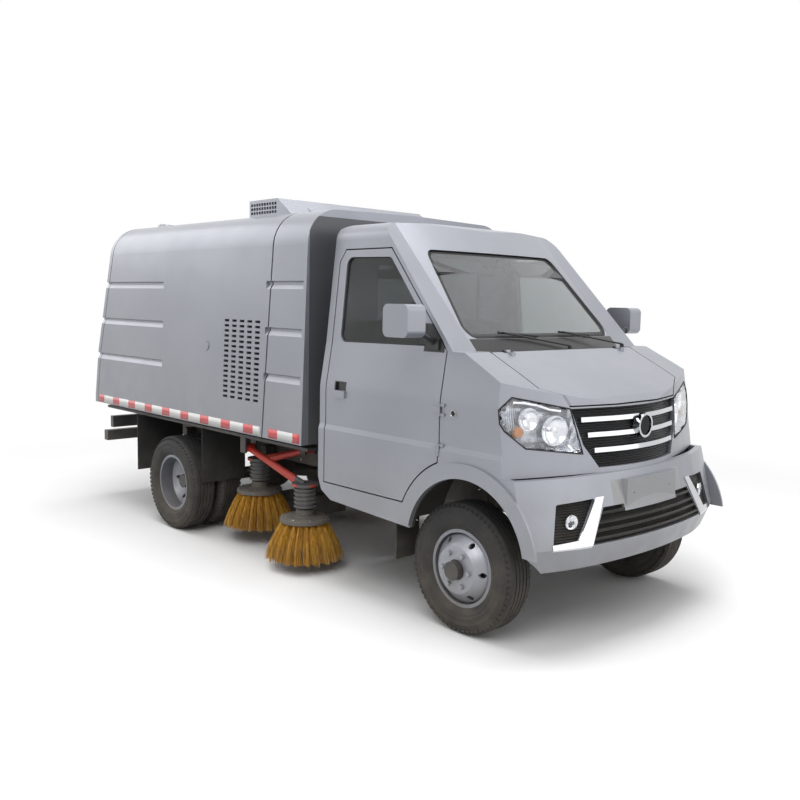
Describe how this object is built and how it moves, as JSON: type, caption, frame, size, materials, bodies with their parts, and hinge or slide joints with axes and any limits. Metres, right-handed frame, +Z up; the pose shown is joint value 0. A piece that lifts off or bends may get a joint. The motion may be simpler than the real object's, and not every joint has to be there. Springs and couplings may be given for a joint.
{
  "type": "street sweeper truck",
  "caption": "Compact street sweeper truck with a tipping ribbed hopper, raised side brushes, steered front wheels and twin rear wheels.",
  "frame": {"origin": "on the ground under the middle of the truck's length and width", "axes": "+X forward, +Y to the truck's left, +Z up"},
  "size_m": [4.43, 1.956, 2.18],
  "materials": {
    "chassis_black": "satin black chassis paint",
    "cast_metal": "rough cast",
    "silver_paint": "metallic silver paint",
    "interior_grey": "grained plastic",
    "seat_cloth": "woven seat cloth",
    "tinted_glass": "tinted glass",
    "grille_black": "gloss black plastic",
    "bright_trim": "bright chrome",
    "lamp_clear": "clear lamp lens",
    "wiper_black": "satin black",
    "flap_rubber": "flexible rubber sheet",
    "dark_paint": "dark grey paint",
    "rear_red": "red lamp lens",
    "tyre_rubber": "road tyre",
    "wheel_silver": "silver wheel paint",
    "bristle": "bundled bristles",
    "arm_red": "red enamel"
  },
  "bodies": {
    "truck": {"chassis_frame": "chassis_black", "engine_and_driveline": "cast_metal", "rear_axle": "chassis_black", "front_suspension": "chassis_black", "cab_shell": "silver_paint", "cab_interior": "interior_grey", "dashboard": "interior_grey", "seats": "seat_cloth", "cab_glass": "tinted_glass", "front_bumper": "silver_paint", "grille": "grille_black", "chrome_trims": "bright_trim", "headlamps": "lamp_clear", "wipers": "wiper_black", "mudguards": "flap_rubber", "body_front_section": "silver_paint", "body_subframe": "chassis_black", "suction_mouth": "dark_paint", "rear_bumper": "dark_paint", "tail_lamps": "rear_red"},
    "hood": {"hood_lid": "silver_paint"},
    "hopper": {"hopper": "silver_paint", "roof_intake_hood": "silver_paint"},
    "rear_door": {"rear_door": "silver_paint"},
    "door_left": {"door_left": "silver_paint", "door_glass_left": "tinted_glass"},
    "knuckle_left": {"knuckle_left": "cast_metal"},
    "front_wheel_left": {"front_tyre_left": "tyre_rubber", "front_rim_left": "wheel_silver"},
    "rear_wheels_left": {"rear_tyres_left": "tyre_rubber", "rear_rims_left": "wheel_silver"},
    "front_brush_arm_left": {"front_brush_arm_left": "arm_red"},
    "front_brush_left": {"front_brush_left": "bristle"},
    "rear_brush_arm_left": {"rear_brush_arm_left": "arm_red"},
    "rear_brush_left": {"rear_brush_left": "bristle"},
    "door_right": {"door_right": "silver_paint", "door_glass_right": "tinted_glass"},
    "knuckle_right": {"knuckle_right": "cast_metal"},
    "front_wheel_right": {"front_tyre_right": "tyre_rubber", "front_rim_right": "wheel_silver"},
    "rear_wheels_right": {"rear_tyres_right": "tyre_rubber", "rear_rims_right": "wheel_silver"},
    "front_brush_arm_right": {"front_brush_arm_right": "arm_red"},
    "front_brush_right": {"front_brush_right": "bristle"},
    "rear_brush_arm_right": {"rear_brush_arm_right": "arm_red"},
    "rear_brush_right": {"rear_brush_right": "bristle"}
  },
  "joints": [
    {"name": "hood_lift", "type": "hinge", "parent": "truck", "child": "hood", "pos_m": [1.6295, 0, 1.34], "axis": [0, -1, 0], "range_deg": [0, 55]},
    {"name": "hopper_tip", "type": "hinge", "parent": "truck", "child": "hopper", "pos_m": [-2.06, 0, 0.7], "axis": [0, -1, 0], "range_deg": [0, 42]},
    {"name": "rear_door_lift", "type": "hinge", "parent": "hopper", "child": "rear_door", "pos_m": [-1.8045, 0, 2.103], "axis": [0, 1, 0], "range_deg": [0, 70]},
    {"name": "door_left_swing", "type": "hinge", "parent": "truck", "child": "door_left", "pos_m": [1.5165, 0.818, 0.975], "axis": [0, 0, -1], "range_deg": [0, 65]},
    {"name": "steer_left", "type": "hinge", "parent": "truck", "child": "knuckle_left", "pos_m": [1.625, 0.54, 0.317], "axis": [0, 0, 1], "range_deg": [-32, 32]},
    {"name": "front_wheel_left_spin", "type": "hinge", "parent": "knuckle_left", "child": "front_wheel_left", "pos_m": [1.625, 0.688, 0.317], "axis": [0, 1, 0], "continuous": true},
    {"name": "rear_wheels_left_spin", "type": "hinge", "parent": "truck", "child": "rear_wheels_left", "pos_m": [-0.975, 0.67, 0.317], "axis": [0, 1, 0], "continuous": true},
    {"name": "front_brush_arm_left_lower", "type": "hinge", "parent": "truck", "child": "front_brush_arm_left", "pos_m": [-0.225, 0.72, 0.646], "axis": [0, 1, 0], "range_deg": [0, 4.5]},
    {"name": "rear_brush_arm_left_lower", "type": "hinge", "parent": "truck", "child": "rear_brush_arm_left", "pos_m": [0.095, 0.5, 0.655], "axis": [0, -1, 0], "range_deg": [0, 7.5]},
    {"name": "front_brush_left_spin", "type": "hinge", "parent": "front_brush_arm_left", "child": "front_brush_left", "pos_m": [0.315, 0.69, 0.3], "axis": [0, 0, 1], "continuous": true},
    {"name": "rear_brush_left_spin", "type": "hinge", "parent": "rear_brush_arm_left", "child": "rear_brush_left", "pos_m": [-0.365, 0.545, 0.34], "axis": [0, 0, 1], "continuous": true},
    {"name": "door_right_swing", "type": "hinge", "parent": "truck", "child": "door_right", "pos_m": [1.5165, -0.818, 0.975], "axis": [0, 0, 1], "range_deg": [0, 65]},
    {"name": "steer_right", "type": "hinge", "parent": "truck", "child": "knuckle_right", "pos_m": [1.625, -0.54, 0.317], "axis": [0, 0, 1], "range_deg": [-32, 32]},
    {"name": "front_wheel_right_spin", "type": "hinge", "parent": "knuckle_right", "child": "front_wheel_right", "pos_m": [1.625, -0.688, 0.317], "axis": [0, 1, 0], "continuous": true},
    {"name": "rear_wheels_right_spin", "type": "hinge", "parent": "truck", "child": "rear_wheels_right", "pos_m": [-0.975, -0.67, 0.317], "axis": [0, 1, 0], "continuous": true},
    {"name": "front_brush_arm_right_lower", "type": "hinge", "parent": "truck", "child": "front_brush_arm_right", "pos_m": [-0.225, -0.72, 0.646], "axis": [0, 1, 0], "range_deg": [0, 4.5]},
    {"name": "rear_brush_arm_right_lower", "type": "hinge", "parent": "truck", "child": "rear_brush_arm_right", "pos_m": [0.095, -0.5, 0.655], "axis": [0, -1, 0], "range_deg": [0, 7.5]},
    {"name": "front_brush_right_spin", "type": "hinge", "parent": "front_brush_arm_right", "child": "front_brush_right", "pos_m": [0.315, -0.69, 0.3], "axis": [0, 0, 1], "continuous": true},
    {"name": "rear_brush_right_spin", "type": "hinge", "parent": "rear_brush_arm_right", "child": "rear_brush_right", "pos_m": [-0.365, -0.545, 0.34], "axis": [0, 0, 1], "continuous": true}
  ],
  "couplings": [
    {"joint": "steer_right", "follows": "steer_left", "ratio": 1}
  ]
}
